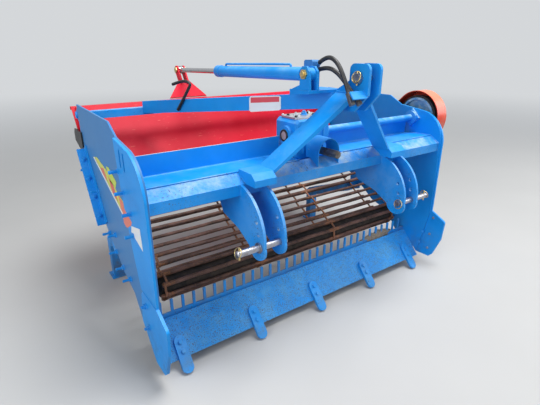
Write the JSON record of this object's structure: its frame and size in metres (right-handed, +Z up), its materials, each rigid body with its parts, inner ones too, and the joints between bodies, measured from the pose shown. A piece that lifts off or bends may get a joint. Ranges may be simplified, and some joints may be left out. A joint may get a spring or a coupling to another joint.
{
  "type": "stone picker",
  "caption": "Tractor-mounted stone picker: a digging blade feeds a sloping bar web that sieves soil and drops stones into a bin with a hydraulic bottom-dump gate.",
  "frame": {"origin": "middle of the whole machine's outline, on the ground under it", "axes": "+X across the machine, towards the belt guard's side; +Y back from the tractor; +Z up"},
  "size_m": [1.835, 1.497, 1.252],
  "materials": {
    "blue_paint": "gloss azure paint, chipped and dusty",
    "red_paint": "gloss red paint",
    "orange_paint": "gloss orange paint",
    "dark_paint": "black paint",
    "web_steel": "rusty brown steel",
    "cast_housing": "grey cast iron",
    "lid_alloy": "satin alloy",
    "bright_steel": "worn bright steel",
    "rod_chrome": "polished chrome",
    "zinc_steel": "yellow zinc plate",
    "belt_rubber": "matte rubber",
    "hose_rubber": "satin black hose"
  },
  "bodies": {
    "frame": {"apron": "blue_paint", "bearings": "cast_housing", "belt_guard": "orange_paint", "blade": "blue_paint", "cheek_left": "blue_paint", "cheek_right": "blue_paint", "comb": "blue_paint", "doubler_left": "blue_paint", "doubler_right": "blue_paint", "drive_belt": "belt_rubber", "driven_pulley": "cast_housing", "edge_rail_left": "blue_paint", "edge_rail_right": "blue_paint", "front_beam": "blue_paint", "gate_stop_left": "dark_paint", "gate_stop_right": "dark_paint", "gear_lid": "lid_alloy", "gear_shelf": "blue_paint", "gearbox": "blue_paint", "hinge_pins": "bright_steel", "hose_couplers": "zinc_steel", "hose_lower": "hose_rubber", "hose_upper": "hose_rubber", "latch_rod": "dark_paint", "link_bracket_left": "blue_paint", "link_bracket_right": "blue_paint", "link_pin_left": "bright_steel", "link_pin_right": "bright_steel", "mast_head": "blue_paint", "mast_leg_left": "blue_paint", "mast_leg_right": "blue_paint", "mast_pin": "bright_steel", "port_block": "blue_paint", "pto_shield": "blue_paint", "ram_bracket": "blue_paint", "ram_pin": "zinc_steel", "rear_bar": "blue_paint", "side_plate_left": "blue_paint", "side_plate_right": "blue_paint", "sieve_web": "web_steel", "skirt_left": "blue_paint", "skirt_right": "blue_paint", "stand_left": "blue_paint", "stand_right": "blue_paint", "tines": "blue_paint", "top_beam": "blue_paint", "web_drum_front": "web_steel", "web_drum_rear": "web_steel"},
    "gate": {"gate_panel": "red_paint", "gate_arm": "red_paint", "arm_pins": "zinc_steel"},
    "cylinder_tube": {"ram_barrel": "blue_paint", "ram_pipe": "blue_paint"},
    "cylinder_rod": {"ram_rod": "rod_chrome"},
    "pto_input": {"pto_shaft": "bright_steel"},
    "cross_shaft": {"cross_shaft": "blue_paint", "drive_pulley": "cast_housing"}
  },
  "joints": [
    {"name": "gate_swing", "type": "hinge", "parent": "frame", "child": "gate", "pos_m": [-0.0275, 0.4625, 0.955], "axis": [1, 0, 0], "range_deg": [0, 65]},
    {"name": "cylinder_swing", "type": "hinge", "parent": "frame", "child": "cylinder_tube", "pos_m": [-0.1775, -0.5385, 1.18], "axis": [1, 0, 0], "range_deg": [-0.5, 8]},
    {"name": "rod_slide", "type": "slide", "parent": "cylinder_tube", "child": "cylinder_rod", "axis": [0, 0.9996, -0.027], "range_m": [-0.33, 0.003]},
    {"name": "cross_shaft_spin", "type": "hinge", "parent": "frame", "child": "cross_shaft", "pos_m": [-0.0275, -0.3325, 0.897], "axis": [1, 0, 0], "continuous": true},
    {"name": "drive_input_spin", "type": "hinge", "parent": "frame", "child": "pto_input", "pos_m": [-0.0275, -0.5225, 0.838], "axis": [0, 1, 0], "continuous": true}
  ],
  "couplings": [
    {"joint": "cylinder_swing", "follows": "gate_swing", "ratio": 0.10937},
    {"joint": "rod_slide", "follows": "gate_swing", "m_per_rad": -0.2814},
    {"joint": "drive_input_spin", "follows": "cross_shaft_spin", "ratio": 1}
  ]
}
